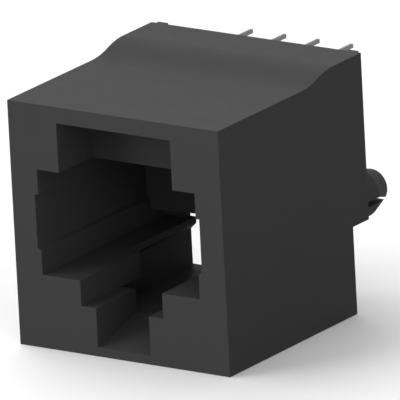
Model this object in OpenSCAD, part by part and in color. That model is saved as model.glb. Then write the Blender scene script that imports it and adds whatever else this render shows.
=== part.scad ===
// Top-entry eight-way modular jack for a circuit board, unshielded.
// It lies on its latch side, as photographed: the plug enters along +Y,
// the board would stand behind it, square to Y, and Z is up.
// The origin is under the middle of the whole jack, on the surface it lies on.
// Inside the modules Y starts at the plug face and X at the middle.

/* [Housing] */
// Width of the housing from side to side
body_w = 15.88; // [15.6:0.01:16.4]
// Height of the housing at the plug face
body_h = 16; // [15.8:0.05:17]
// Depth from the plug face to the rear wall
body_d = 16.1; // [15.8:0.1:18]
// Rise of the roof over the contact insert
roof_rise = 0.65; // [0.5:0.05:1.2]
// Length of the S-shaped ramp in the roof
ramp_l = 3.6; // [2.4:0.1:4.4]
// Length of the raised flat behind the ramp
raised_l = 3.15; // [2.4:0.05:3.6]
// Depth of the lower rear face, under the rear wall
lower_d = 14.3; // [13.9:0.1:14.8]
// Height of the step between the lower rear face and the rear wall
step_z = 5.71; // [5.4:0.01:6.2]

/* [Plug cavity] */
// Width of the cavity at its widest
cavity_w = 12.42; // [12.1:0.02:12.8]
// Width of the cavity below and above the widest band
cavity_narrow_w = 11.9; // [11.6:0.02:12]
// Depth of the cavity from the plug face to the stop
cavity_d = 12.1; // [11.6:0.1:12.6]
// Height of the floor that the plug slides on
plug_floor_z = 4.82; // [4.7:0.01:5]
// Lower edge of the widest band
band_low_z = 6.4; // [6.2:0.05:7]
// Upper edge of the widest band
band_high_z = 10.05; // [9.6:0.05:10.6]
// Height of the little slope under the widest band
band_slope = 0.13; // [0.05:0.01:0.3]
// Height of the cavity's ceiling
ceiling_z = 11.71; // [11.5:0.01:11.8]
// Width of the channel over the cavity that holds the insert
channel_w = 8.58; // [8.5:0.02:8.9]
// Height of the top of that channel
channel_top_z = 14.94; // [14.7:0.02:15.2]
// Depth of the open recess in front of the insert
recess_d = 3.65; // [3:0.05:3.8]

/* [Latch keyway] */
// Width of the upper step of the keyway
key_upper_w = 6.2; // [6:0.05:6.6]
// Depth of the upper step
key_upper_d = 6.6; // [6:0.1:7.4]
// Width of the lower step of the keyway
key_lower_w = 4; // [3.8:0.05:4.4]
// Depth of the lower step
key_lower_d = 4.4; // [3.8:0.1:5]
// Height of the ledge between the two steps
key_ledge_z = 3.15; // [2.9:0.05:3.4]
// Wall under the keyway at the plug face
key_floor_t = 0.58; // [0.4:0.02:0.8]
// Width of the latch chamber behind the keyway
chamber_w = 8.92; // [8.4:0.02:9.4]
// Wall under the latch chamber
chamber_floor_t = 1.65; // [1.4:0.05:1.8]
// Width of the gap between the floor ledges
chamber_gap_w = 8.06; // [7.6:0.02:8.3]
// Thickness of the floor ledges beside the gap
ledge_t = 0.41; // [0.3:0.01:0.6]
// Thickness of the end walls behind the floor ledges
end_wall_t = 0.5; // [0.4:0.05:1]

/* [Contact insert] */
// Width of the block at the rear of the insert
block_w = 10.3; // [10:0.05:10.6]
// Height of the bar of the housing that the block stands on
bar_top_z = 8.6; // [8.4:0.05:8.9]
// Plastic over the upper row of contacts
cover_t = 0.28; // [0.2:0.02:0.4]
// Running clearance between the insert and the housing
insert_gap = 0.05; // [0.02:0.01:0.1]
// Wall at the front of the insert, which closes the recess
insert_front_t = 0.6; // [0.4:0.05:0.8]
// Height of the slots under the insert that the springs move up into
spring_slot_h = 1.05; // [0.8:0.05:1.2]
// Width of a spring slot
spring_slot_w = 0.62; // [0.54:0.02:0.7]
// Depth of the comb slots in the front of the block
comb_d = 1.3; // [1.1:0.05:1.5]
// Plastic under the comb slots
comb_floor_t = 0.4; // [0.3:0.05:0.6]
// Plastic behind the comb slots, before the contacts fan out
comb_back_t = 0.4; // [0.3:0.05:0.6]
// Straight stretch of a tail inside the block
tail_guide_l = 0.7; // [0.5:0.05:0.9]

/* [Contacts] */
// Distance between neighbouring springs
spring_pitch = 1.016; // [1:0.004:1.03]
// Distance between neighbouring tails, across both rows
tail_pitch = 1.27; // [1.25:0.01:1.28]
// Distance between the two rows of tails
row_gap = 2.54; // [2.4:0.02:2.6]
// Width of the contact strip
strip_w = 0.36; // [0.3:0.01:0.44]
// Thickness of the contact strip
strip_t = 0.26; // [0.2:0.01:0.3]
// Width of a tail, which is narrower than the strip
tail_w = 0.2; // [0.16:0.01:0.24]
// Length of the tails beyond the board seat, where they are cut off square
tail_l = 3.88; // [2.8:0.01:4.4]
// Height of the straight run in the insert
run_z = 13.55; // [13.4:0.01:13.7]
// Middle radius of the bend at the front of a spring
bend_r = 0.95; // [0.85:0.01:1]
// Slope of the free spring below the horizontal, in degrees
spring_slope = 14; // [12:0.5:16]
// How far the free end reaches into the comb
spring_reach = 0.9; // [0.6:0.05:1]
// Clearance round a contact in its groove
contact_gap = 0.06; // [0.04:0.01:0.09]

/* [Board side] */
// Diameter of a board post
post_dia = 3.25; // [3.1:0.05:3.3]
// Distance between the two posts
post_spacing = 11.78; // [11.6:0.02:12]
// Height of the posts' axis
post_z = 6.63; // [6.4:0.01:6.8]
// Length of a post beyond the board seat
post_l = 3.25; // [2.8:0.05:3.6]
// Length of the conical nose of a post
post_nose_l = 1.6; // [1.2:0.05:1.9]
// Diameter at the tip of the nose
post_tip_dia = 2.3; // [1.8:0.05:2.5]
// Height of the slot that splits a post, so that its lower side can spring
post_slot_h = 0.38; // [0.3:0.01:0.5]
// Drop of the slot's roof below the post's axis
post_slot_drop = 0.05; // [0.03:0.01:0.15]
// Height of the slot's mouth at the tip of the nose
post_mouth_h = 0.17; // [0.12:0.01:0.25]
// Drop of the mouth's roof below the post's axis
post_mouth_drop = 0.58; // [0.4:0.01:0.65]
// Length of the solid root of a post beyond the board seat
post_root_l = 0.25; // [0.1:0.05:0.6]
// Diameter of a post where it meets the lower rear face, thicker by its draft
post_root_dia = 3.36; // [3.34:0.01:3.4]
// Distance from the post's axis to the nearer row of tails
post_to_row = 6.35; // [6.2:0.01:6.5]
// Height of the standoff pads over the rear wall
pad_t = 0.27; // [0.15:0.01:0.4]
// Width of a standoff pad
pad_w = 0.72; // [0.5:0.02:0.9]
// Length of an upper standoff pad
pad_l = 2; // [1.5:0.1:2.5]
// Distance from an upper pad to the side of the housing
pad_inset = 0.36; // [0.2:0.02:0.5]
// Length of a lower standoff pad
low_pad_l = 1.6; // [1:0.1:2]
// Distance from the middle to the near side of a lower pad
low_pad_x = 1.8; // [1:0.1:2.6]

/* [Hidden] */
$fn = 96;
// One node for each contact
contact_n = 8;

plastic = [0.25, 0.25, 0.26];
insert_plastic = [0.17, 0.17, 0.18];
metal = [0.62, 0.62, 0.6];

// How far a cut runs past the face that it opens
past = 1;
seat_y = body_d + pad_t;
tip_y = seat_y + tail_l;
roof_z = body_h + roof_rise;
ramp_end_y = body_d - raised_l;
ramp_start_y = ramp_end_y - ramp_l;
// Radius of each half of the S, from its length and its rise
ramp_r = (pow(ramp_l / 2, 2) + pow(roof_rise / 2, 2)) / roof_rise;

lower_row_z = post_z + post_to_row;
upper_row_z = lower_row_z + row_gap;
block_top_z = upper_row_z + strip_t / 2 + cover_t;
slot_top_z = ceiling_z + spring_slot_h;
groove_floor_z = run_z - strip_t / 2;
slot_front_y = recess_d + insert_front_t;
bend_y = slot_front_y + contact_gap + strip_t / 2 + bend_r;
bend_z = run_z - bend_r;
bend_end = 270 - spring_slope;
bend_steps = 16;
spring_start = [bend_y + bend_r * cos(bend_end), bend_z + bend_r * sin(bend_end)];
spring_end_y = cavity_d + spring_reach;
spring_end = [spring_end_y,
              spring_start[1] - (spring_end_y - spring_start[0]) * tan(spring_slope)];
web_start_y = bend_y + contact_gap;
// The contacts change height and pitch between these two depths
fan_start_y = cavity_d + comb_d + comb_back_t;
fan_end_y = body_d - tail_guide_l;
// The strip narrows to its tail halfway through the straight stretch
shoulder_y = body_d - tail_guide_l / 2;

// Points on one side of a path, mitred at its corners, at distance d
function unit(v) = v / norm(v);
function side_normal(a, b) = let (u = unit(b - a)) [-u[1], u[0]];
function side_point(path, i, d) =
    let (n1 = side_normal(path[max(i - 1, 0)], path[max(i, 1)]),
         last = len(path) - 1,
         n2 = side_normal(path[min(i, last - 1)], path[min(i + 1, last)]),
         m = unit(n1 + n2))
    path[i] + m * d / (m * n1);
function side_line(path, d) = [for (i = [0 : len(path) - 1]) side_point(path, i, d)];
function back_line(path, d) = [for (i = [len(path) - 1 : -1 : 0]) side_point(path, i, d)];

// A strip along a path, cut off square at both ends
module strip_2d(path, width) {
    polygon(concat(side_line(path, width / 2), back_line(path, -width / 2)));
}

// Stands a drawing of Y and Z upright and gives it a width along X
module across(width) {
    rotate([90, 0, 90])
        translate([0, 0, -width / 2])
            linear_extrude(width) children();
}

// Stands a drawing of X and Z upright between two depths
module along(y0, y1) {
    translate([0, y1, 0])
        rotate([90, 0, 0])
            linear_extrude(y1 - y0) children();
}

// A box that is centred on X, from its two corners in Y and Z
module centred_box(width, y0, y1, z0, z1) {
    translate([-width / 2, y0, z0])
        cube([width, y1 - y0, z1 - z0]);
}

// Puts the finished piece over the shared origin
module placed() {
    translate([0, -tip_y / 2, 0]) children();
}

// Housing

module roof_ramp_2d() {
    half = ramp_l / 2;
    under = roof_rise;
    difference() {
        translate([ramp_start_y, body_h - under])
            square([half, under + roof_rise / 2]);
        translate([ramp_start_y, body_h + ramp_r])
            circle(ramp_r);
    }
    intersection() {
        translate([ramp_start_y + half, body_h - under])
            square([half, under + roof_rise]);
        translate([ramp_end_y, roof_z - ramp_r])
            circle(ramp_r);
    }
}

module housing_side_2d() {
    square([lower_d, body_h]);
    translate([0, step_z])
        square([body_d, body_h - step_z]);
    translate([ramp_end_y, step_z])
        square([raised_l, roof_z - step_z]);
    roof_ramp_2d();
}

module cavity_2d() {
    n = cavity_narrow_w / 2;
    w = cavity_w / 2;
    polygon([[-n, plug_floor_z], [n, plug_floor_z], [n, band_low_z],
             [w, band_low_z + band_slope], [w, band_high_z], [n, band_high_z],
             [n, ceiling_z], [-n, ceiling_z], [-n, band_high_z],
             [-w, band_high_z], [-w, band_low_z + band_slope], [-n, band_low_z]]);
}

// The chamber's section: its walls lean in under the floor ledges
module chamber_2d() {
    w = chamber_w / 2;
    g = chamber_gap_w / 2;
    ledge_z = plug_floor_z - ledge_t;
    polygon([[-w, chamber_floor_t], [w, chamber_floor_t], [w, ledge_z - (w - g)],
             [g, ledge_z], [g, plug_floor_z + past], [-g, plug_floor_z + past],
             [-g, ledge_z], [-w, ledge_z - (w - g)]]);
}

module plug_space() {
    along(-past, cavity_d)
        cavity_2d();
    centred_box(cavity_narrow_w, cavity_d - past, lower_d - end_wall_t, plug_floor_z, step_z);
    centred_box(chamber_w, lower_d - end_wall_t - past, lower_d + past, plug_floor_z, step_z);
}

module latch_space() {
    centred_box(key_upper_w, -past, key_upper_d + past, key_ledge_z, plug_floor_z + past);
    across(key_lower_w)
        polygon([[-past, key_floor_t], [0, key_floor_t], [key_lower_d, chamber_floor_t],
                 [key_lower_d + past, chamber_floor_t], [key_lower_d + past, key_ledge_z + past],
                 [-past, key_ledge_z + past]]);
    intersection() {
        along(key_lower_d, key_upper_d + past)
            chamber_2d();
        centred_box(chamber_w, key_lower_d, key_upper_d + past, 0, key_ledge_z);
    }
    along(key_upper_d, lower_d + past)
        chamber_2d();
}

module insert_space() {
    centred_box(channel_w, -past, cavity_d + past, ceiling_z - past, channel_top_z);
    centred_box(block_w + 2 * insert_gap, cavity_d, body_d + past,
                bar_top_z, block_top_z + insert_gap);
}

// The slot that splits a post, seen from the side: it turns down to its mouth along the nose
module post_slot_2d(start_y, nose_y, end_y) {
    slot_low_z = -post_slot_drop - post_slot_h;
    mouth_low_z = -post_mouth_drop - post_mouth_h;
    polygon([[start_y, -post_slot_drop], [start_y, slot_low_z], [nose_y, slot_low_z],
             [end_y, mouth_low_z], [end_y + past, mouth_low_z],
             [end_y + past, -post_mouth_drop], [end_y, -post_mouth_drop],
             [nose_y, -post_slot_drop]]);
}

// A board post: a round pin with a drafted root and a conical nose, split by a slot
module post() {
    nose_y = seat_y + post_l - post_nose_l;
    end_y = seat_y + post_l;
    difference() {
        translate([0, lower_d, 0])
            rotate([-90, 0, 0])
                rotate_extrude()
                    polygon([[0, 0], [post_root_dia / 2, 0],
                             [post_dia / 2, body_d - lower_d], [post_dia / 2, nose_y - lower_d],
                             [post_tip_dia / 2, end_y - lower_d], [0, end_y - lower_d]]);
        across(post_dia + past)
            post_slot_2d(seat_y + post_root_l, nose_y, end_y);
    }
}

module standoff_pad(x, z, length) {
    for (s = [0, 1])
        mirror([s, 0, 0])
            translate([x, body_d - pad_t, z])
                cube([pad_w, 2 * pad_t, length]);
}

// Two pads under the roof's corners and two on the bar between the posts
module standoff_pads() {
    standoff_pad(body_w / 2 - pad_inset - pad_w, roof_z - pad_l, pad_l);
    standoff_pad(low_pad_x, (step_z + bar_top_z - low_pad_l) / 2, low_pad_l);
}

module housing() {
    color(plastic) placed() {
        difference() {
            across(body_w)
                housing_side_2d();
            plug_space();
            latch_space();
            insert_space();
        }
        for (s = [-1, 1])
            translate([s * post_spacing / 2, 0, post_z])
                post();
        standoff_pads();
    }
}

// Contacts

function spring_x(k) = (k - (contact_n + 1) / 2) * spring_pitch;
function tail_x(k) = (k - (contact_n + 1) / 2) * tail_pitch;
function row_z(k) = k % 2 == 1 ? lower_row_z : upper_row_z;

// The route of contact k seen from the side, from the bend to the tail
function run_path(k, end_y) =
    [[bend_y, run_z], [fan_start_y, run_z], [fan_end_y, row_z(k)], [end_y, row_z(k)]];

// Contact k seen from above, with a gap round it: the strip fans out and narrows to its tail
module contact_plan_2d(k, start_y, end_y, gap = 0) {
    strip_2d([[spring_x(k), start_y], [spring_x(k), fan_start_y], [tail_x(k), fan_end_y],
              [tail_x(k), shoulder_y + gap]], strip_w + 2 * gap);
    strip_2d([[tail_x(k), shoulder_y], [tail_x(k), end_y]], tail_w + 2 * gap);
}

// The free spring and its bend, seen from the side, up to the straight run
function bend_point(a) = [bend_y + bend_r * cos(a), bend_z + bend_r * sin(a)];
spring_path = concat([spring_end],
                     [for (i = [0 : bend_steps - 1])
                         bend_point(bend_end - (bend_end - 90) * i / bend_steps)]);

module contact(k) {
    color(metal) placed()
        intersection() {
            across(2 * block_w)
                strip_2d(concat(spring_path, run_path(k, tip_y)), strip_t);
            linear_extrude(roof_z + past)
                contact_plan_2d(k, recess_d, tip_y);
        }
}

// Insert

// The groove that contact k is laid into from above
module groove(k) {
    top_z = block_top_z + past;
    end_y = body_d + past;
    low = side_line(run_path(k, end_y), -strip_t / 2);
    intersection() {
        across(2 * block_w)
            polygon(concat([[slot_front_y, top_z], [slot_front_y, groove_floor_z]],
                           low, [[end_y, top_z]]));
        linear_extrude(top_z)
            contact_plan_2d(k, slot_front_y, end_y, contact_gap);
    }
}

// The slot under the insert and the comb slot that guide spring k
module spring_slot(k) {
    translate([spring_x(k), 0, 0]) {
        centred_box(spring_slot_w, slot_front_y, cavity_d + comb_d,
                    bar_top_z + comb_floor_t, slot_top_z);
        centred_box(spring_slot_w, slot_front_y, web_start_y,
                    ceiling_z, block_top_z);
    }
}

module contact_insert() {
    plate_w = channel_w - 2 * insert_gap;
    color(insert_plastic) placed()
        difference() {
            union() {
                centred_box(plate_w, recess_d, body_d, ceiling_z, channel_top_z - insert_gap);
                centred_box(block_w, cavity_d, body_d, bar_top_z, block_top_z);
            }
            for (k = [1 : contact_n]) {
                groove(k);
                spring_slot(k);
            }
        }
}

housing();
contact_insert();
contact(1);  // contact_1
contact(2);  // contact_2
contact(3);  // contact_3
contact(4);  // contact_4
contact(5);  // contact_5
contact(6);  // contact_6
contact(7);  // contact_7
contact(8);  // contact_8
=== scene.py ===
"""Dresses a top-entry eight-way board jack: moulded black plastic, plated contacts, a plain studio."""
import math

import bmesh
import bpy
from mathutils import Matrix, Vector

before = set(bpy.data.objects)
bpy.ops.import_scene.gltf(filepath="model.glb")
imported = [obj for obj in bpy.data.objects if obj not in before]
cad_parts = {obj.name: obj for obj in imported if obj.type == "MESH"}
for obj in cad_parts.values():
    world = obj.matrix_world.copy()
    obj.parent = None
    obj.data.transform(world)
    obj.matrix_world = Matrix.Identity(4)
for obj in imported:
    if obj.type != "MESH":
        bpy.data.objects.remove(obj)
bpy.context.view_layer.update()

MM = 0.001
WHITE = (1, 1, 1, 1)

# The camera looks from the photograph's side, and its lens is long enough to keep edges parallel.
# Angles are in degrees, and the lens and its sensor in millimetres.
CAMERA_AZIMUTH = 35.031
CAMERA_ELEVATION = 17.175
CAMERA_ROLL = -2.987
CAMERA_AIM = Vector((-0.758, 0.025, 7.519)) * MM
CAMERA_DISTANCE = 1116.2 * MM
CAMERA_NEAREST = 1 * MM
CAMERA_FARTHEST = 3 * CAMERA_DISTANCE
CAMERA_LENS = 1600
CAMERA_SENSOR = 36

# Levels of light are the tone that a white surface facing it takes
DOME_LEVEL = 0.35
# Each broad lamp: its level, where its light comes from, and its spread in degrees
LAMPS = {
    "high_left": (0.28, Vector((-0.5, 0.4, 1)), 60),
    "left_side": (0.77, Vector((-1, 0, 0.3)), 120),
    "front_right": (0.41, Vector((1, -1, 0.3)), 120),
    "low_front_left": (0.81, Vector((-1, -1, 0)), 40),
    "low_right": (0.19, Vector((1, -0.7, 0)), 40),
}

FLOOR_HALF = 300 * MM
# The floor lies just under the jack, so that the two faces don't share one plane
FLOOR_DROP = 0.02 * MM
# The floor's colour where it is seen, and for the light that it throws up on the object
FLOOR_SHOWN = (0.98, 0.98, 0.98, 1)
FLOOR_BOUNCE = (0.22, 0.22, 0.22, 1)

# Patterns of the finishes: size of a patch in millimetres, depth of fine detail, and stretch
MOULD_FLOW = {"size": 2.5, "detail": 1, "stretch": (1, 2, 1)}
SHEEN_PATCHES = {"size": 0.8, "detail": 3}
MOULD_GRAIN = {"size": 0.12, "detail": 2}
DRAWN_LINES = {"size": 0.03, "detail": 2, "stretch": (1, 20, 1)}
# Nearly all of a noise lies between these two values
NOISE_SPAN = (0.25, 0.75)
FULL_SPAN = (0, 1)

# Moulded plastic: flow darkens and lightens the tone by these factors, and heights are in millimetres
HOUSING_TONE = (0.0495, 0.0495, 0.0504)
# The insert is the same plastic as the housing; its darker tone is painted shade of the recess that it
# lines.
INSERT_TONE_PAINTED_SHADE = (0.0375, 0.0375, 0.0383)
FLOW_DARK = 0.98
FLOW_LIGHT = 1.02
PLASTIC_ROUGHNESS = (0.53, 0.59)
PLASTIC_SPECULAR = 0.02
GRAIN_HEIGHT = 0.005

# Plated strip
GOLD_TONE = (0.85, 0.62, 0.26)
TIN_TONE = (0.205, 0.203, 0.198)
# Places along Y, in millimetres, between which the gold of the springs gives way to the tin of the tails
GOLD_TO_TIN = (3.3, 3.5)
LINE_DARK = 0.88
LINE_HEIGHT = 0.001
METAL_ROUGHNESS = (0.42, 0.54)
# What is left of the metal's mirror shine at a glancing view, since its plating is dull
DULL_RIM = (0.3, 0.3, 0.3, 1)

CONTACTS = [f"contact_{number}" for number in range(1, 9)]


def camera_axes(azimuth, elevation, roll):
    """The camera's right, up and backward directions, from angles in degrees."""
    turn, rise, tilt = (math.radians(angle) for angle in (azimuth, elevation, roll))
    backward = Vector((math.sin(turn) * math.cos(rise), -math.cos(turn) * math.cos(rise), math.sin(rise)))
    level = Vector((math.cos(turn), math.sin(turn), 0))
    upright = backward.cross(level)
    right = level * math.cos(tilt) + upright * math.sin(tilt)
    return right, backward.cross(right), backward


def place_camera():
    """Sets the scene's camera on its line of view, far enough off for the whole jack to show."""
    data = bpy.data.cameras.new("camera")
    data.lens = CAMERA_LENS
    data.sensor_width = CAMERA_SENSOR
    data.clip_start = CAMERA_NEAREST
    data.clip_end = CAMERA_FARTHEST
    camera = bpy.data.objects.new("camera", data)
    bpy.context.scene.collection.objects.link(camera)
    right, up, backward = camera_axes(CAMERA_AZIMUTH, CAMERA_ELEVATION, CAMERA_ROLL)
    turned = Matrix((right, up, backward)).transposed()
    spot = CAMERA_AIM + backward * CAMERA_DISTANCE
    camera.matrix_world = Matrix.Translation(spot) @ turned.to_4x4()
    bpy.context.scene.camera = camera


def seen_directly(nodes, links):
    """1 where a camera, glossy or transmission ray arrives, and 0 for the light that objects get."""
    path = nodes.new("ShaderNodeLightPath")
    shown = path.outputs["Is Camera Ray"]
    for kind in ("Is Glossy Ray", "Is Transmission Ray"):
        either = nodes.new("ShaderNodeMath")
        either.operation = "MAXIMUM"
        links.new(shown, either.inputs[0])
        links.new(path.outputs[kind], either.inputs[1])
        shown = either.outputs["Value"]
    return shown


def light_dome():
    """A white surrounding that gives the object an even, soft light."""
    world = bpy.data.worlds.new("studio")
    world.use_nodes = True
    nodes, links = world.node_tree.nodes, world.node_tree.links
    lit = nodes["Background"]
    lit.inputs["Color"].default_value = WHITE
    lit.inputs["Strength"].default_value = DOME_LEVEL
    white = nodes.new("ShaderNodeBackground")
    white.inputs["Color"].default_value = WHITE
    white.inputs["Strength"].default_value = 1
    choice = nodes.new("ShaderNodeMixShader")
    links.new(seen_directly(nodes, links), choice.inputs["Fac"])
    links.new(lit.outputs["Background"], choice.inputs[1])
    links.new(white.outputs["Background"], choice.inputs[2])
    links.new(choice.outputs["Shader"], nodes["World Output"].inputs["Surface"])
    bpy.context.scene.world = world


def soft_lamp(name, level, light_from, spread):
    """A broad distant lamp. Its level is the tone of a white surface that faces it."""
    data = bpy.data.lights.new(name, "SUN")
    data.energy = level * math.pi
    data.angle = math.radians(spread)
    lamp = bpy.data.objects.new(name, data)
    lamp.rotation_mode = "QUATERNION"
    lamp.rotation_quaternion = light_from.to_track_quat("Z", "Y")
    bpy.context.scene.collection.objects.link(lamp)


def floor_material():
    """Nearly white where it is seen, and darker for the light that it throws back."""
    material = bpy.data.materials.new("pale_floor")
    material.use_nodes = True
    nodes, links = material.node_tree.nodes, material.node_tree.links
    nodes.remove(nodes["Principled BSDF"])
    shown = nodes.new("ShaderNodeBsdfDiffuse")
    shown.inputs["Color"].default_value = FLOOR_SHOWN
    bounce = nodes.new("ShaderNodeBsdfDiffuse")
    bounce.inputs["Color"].default_value = FLOOR_BOUNCE
    choice = nodes.new("ShaderNodeMixShader")
    links.new(seen_directly(nodes, links), choice.inputs["Fac"])
    links.new(bounce.outputs["BSDF"], choice.inputs[1])
    links.new(shown.outputs["BSDF"], choice.inputs[2])
    links.new(choice.outputs["Shader"], nodes["Material Output"].inputs["Surface"])
    return material


def lay_floor():
    """The plain floor that the jack lies on."""
    mesh = bpy.data.meshes.new("floor")
    shape = bmesh.new()
    bmesh.ops.create_grid(shape, x_segments=1, y_segments=1, size=FLOOR_HALF)
    shape.to_mesh(mesh)
    shape.free()
    mesh.materials.append(floor_material())
    floor = bpy.data.objects.new("floor", mesh)
    floor.location.z = -FLOOR_DROP
    bpy.context.scene.collection.objects.link(floor)


def colour_socket(sockets, name):
    """The colour socket of a name that the node also uses for other kinds of value."""
    return next(socket for socket in sockets if socket.name == name and socket.type == "RGBA")


class Finish:
    """A material whose patterns are drawn in millimetres on the piece's own coordinates."""

    def __init__(self, name):
        self.material = bpy.data.materials.new(name)
        self.material.use_nodes = True
        self.nodes = self.material.node_tree.nodes
        self.links = self.material.node_tree.links
        self.shader = self.nodes["Principled BSDF"]
        place = self.nodes.new("ShaderNodeTexCoord")
        in_mm = self.nodes.new("ShaderNodeMapping")
        in_mm.inputs["Scale"].default_value = (1 / MM, 1 / MM, 1 / MM)
        self.links.new(place.outputs["Object"], in_mm.inputs["Vector"])
        self.place = in_mm.outputs["Vector"]

    def along(self, axis):
        """One coordinate of the place on the piece, in millimetres."""
        node = self.nodes.new("ShaderNodeSeparateXYZ")
        self.links.new(self.place, node.inputs["Vector"])
        return node.outputs[axis]

    def noise(self, size, detail, stretch=(1, 1, 1)):
        """Soft noise from 0 to 1. Its patches are longer along an axis by what stretch says."""
        shape = self.nodes.new("ShaderNodeMapping")
        shape.inputs["Scale"].default_value = [1 / (size * longer) for longer in stretch]
        self.links.new(self.place, shape.inputs["Vector"])
        node = self.nodes.new("ShaderNodeTexNoise")
        node.inputs["Scale"].default_value = 1
        node.inputs["Detail"].default_value = detail
        self.links.new(shape.outputs["Vector"], node.inputs["Vector"])
        return self.scaled(node.outputs["Fac"], NOISE_SPAN, FULL_SPAN)

    def scaled(self, value, old_span, new_span):
        """Turns one span of values into another, and holds the ends."""
        node = self.nodes.new("ShaderNodeMapRange")
        node.inputs["From Min"].default_value, node.inputs["From Max"].default_value = old_span
        node.inputs["To Min"].default_value, node.inputs["To Max"].default_value = new_span
        self.links.new(value, node.inputs["Value"])
        return node.outputs["Result"]

    def blend(self, value, first, second):
        """Goes from the first colour to the second as the value goes from 0 to 1."""
        node = self.nodes.new("ShaderNodeMix")
        node.data_type = "RGBA"
        self.links.new(value, node.inputs["Factor"])
        for name, colour in (("A", first), ("B", second)):
            inlet = colour_socket(node.inputs, name)
            if isinstance(colour, bpy.types.NodeSocket):
                self.links.new(colour, inlet)
            else:
                inlet.default_value = (*colour, 1)
        return colour_socket(node.outputs, "Result")

    def darkened(self, colour, factor):
        """A patterned colour times a factor."""
        node = self.nodes.new("ShaderNodeVectorMath")
        node.operation = "SCALE"
        node.inputs["Scale"].default_value = factor
        self.links.new(colour, node.inputs[0])
        return node.outputs["Vector"]

    def relief(self, value, height):
        """Raises the surface by a pattern, up to height millimetres."""
        node = self.nodes.new("ShaderNodeBump")
        node.inputs["Strength"].default_value = 1
        node.inputs["Distance"].default_value = height * MM
        self.links.new(value, node.inputs["Height"])
        self.links.new(node.outputs["Normal"], self.shader.inputs["Normal"])

    def set(self, name, value):
        """Gives the shader's socket a pattern or one plain value."""
        if isinstance(value, bpy.types.NodeSocket):
            self.links.new(value, self.shader.inputs[name])
        else:
            self.shader.inputs[name].default_value = value


def shade(tone, factor):
    """A plain tone times a factor."""
    return tuple(factor * part for part in tone)


def moulded_plastic(name, tone):
    """Matt black plastic: faint flow shading, patchy sheen and the fine grain of the mould."""
    finish = Finish(name)
    flow = finish.noise(**MOULD_FLOW)
    finish.set("Base Color", finish.blend(flow, shade(tone, FLOW_DARK), shade(tone, FLOW_LIGHT)))
    sheen = finish.noise(**SHEEN_PATCHES)
    finish.set("Roughness", finish.scaled(sheen, FULL_SPAN, PLASTIC_ROUGHNESS))
    finish.set("Specular IOR Level", PLASTIC_SPECULAR)
    finish.relief(finish.noise(**MOULD_GRAIN), GRAIN_HEIGHT)
    return finish.material


def plated_strip(name):
    """Stamped strip: gold on the free springs, dull tin on the tails, drawn lines along its length."""
    finish = Finish(name)
    tin = finish.scaled(finish.along("Y"), GOLD_TO_TIN, FULL_SPAN)
    colour = finish.blend(tin, GOLD_TONE, TIN_TONE)
    lines = finish.noise(**DRAWN_LINES)
    finish.set("Base Color", finish.blend(lines, colour, finish.darkened(colour, LINE_DARK)))
    finish.set("Metallic", 1)
    finish.set("Specular Tint", DULL_RIM)
    finish.set("Roughness", finish.scaled(lines, FULL_SPAN, METAL_ROUGHNESS))
    finish.relief(lines, LINE_HEIGHT)
    return finish.material


def dress(piece, material):
    """Puts one material on the whole piece."""
    for slot in piece.material_slots:
        slot.material = material


bpy.context.scene.view_settings.view_transform = "Standard"
place_camera()
light_dome()
for name, (level, light_from, spread) in LAMPS.items():
    soft_lamp(name, level, light_from, spread)
lay_floor()

dress(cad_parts["housing"], moulded_plastic("housing_plastic", HOUSING_TONE))
# The insert's darker tone is painted shade of the recess, laid on the same plastic as the housing.
dress(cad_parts["contact_insert"], moulded_plastic("insert_plastic", INSERT_TONE_PAINTED_SHADE))
metal = plated_strip("contact_metal")
for contact in CONTACTS:
    dress(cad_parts[contact], metal)
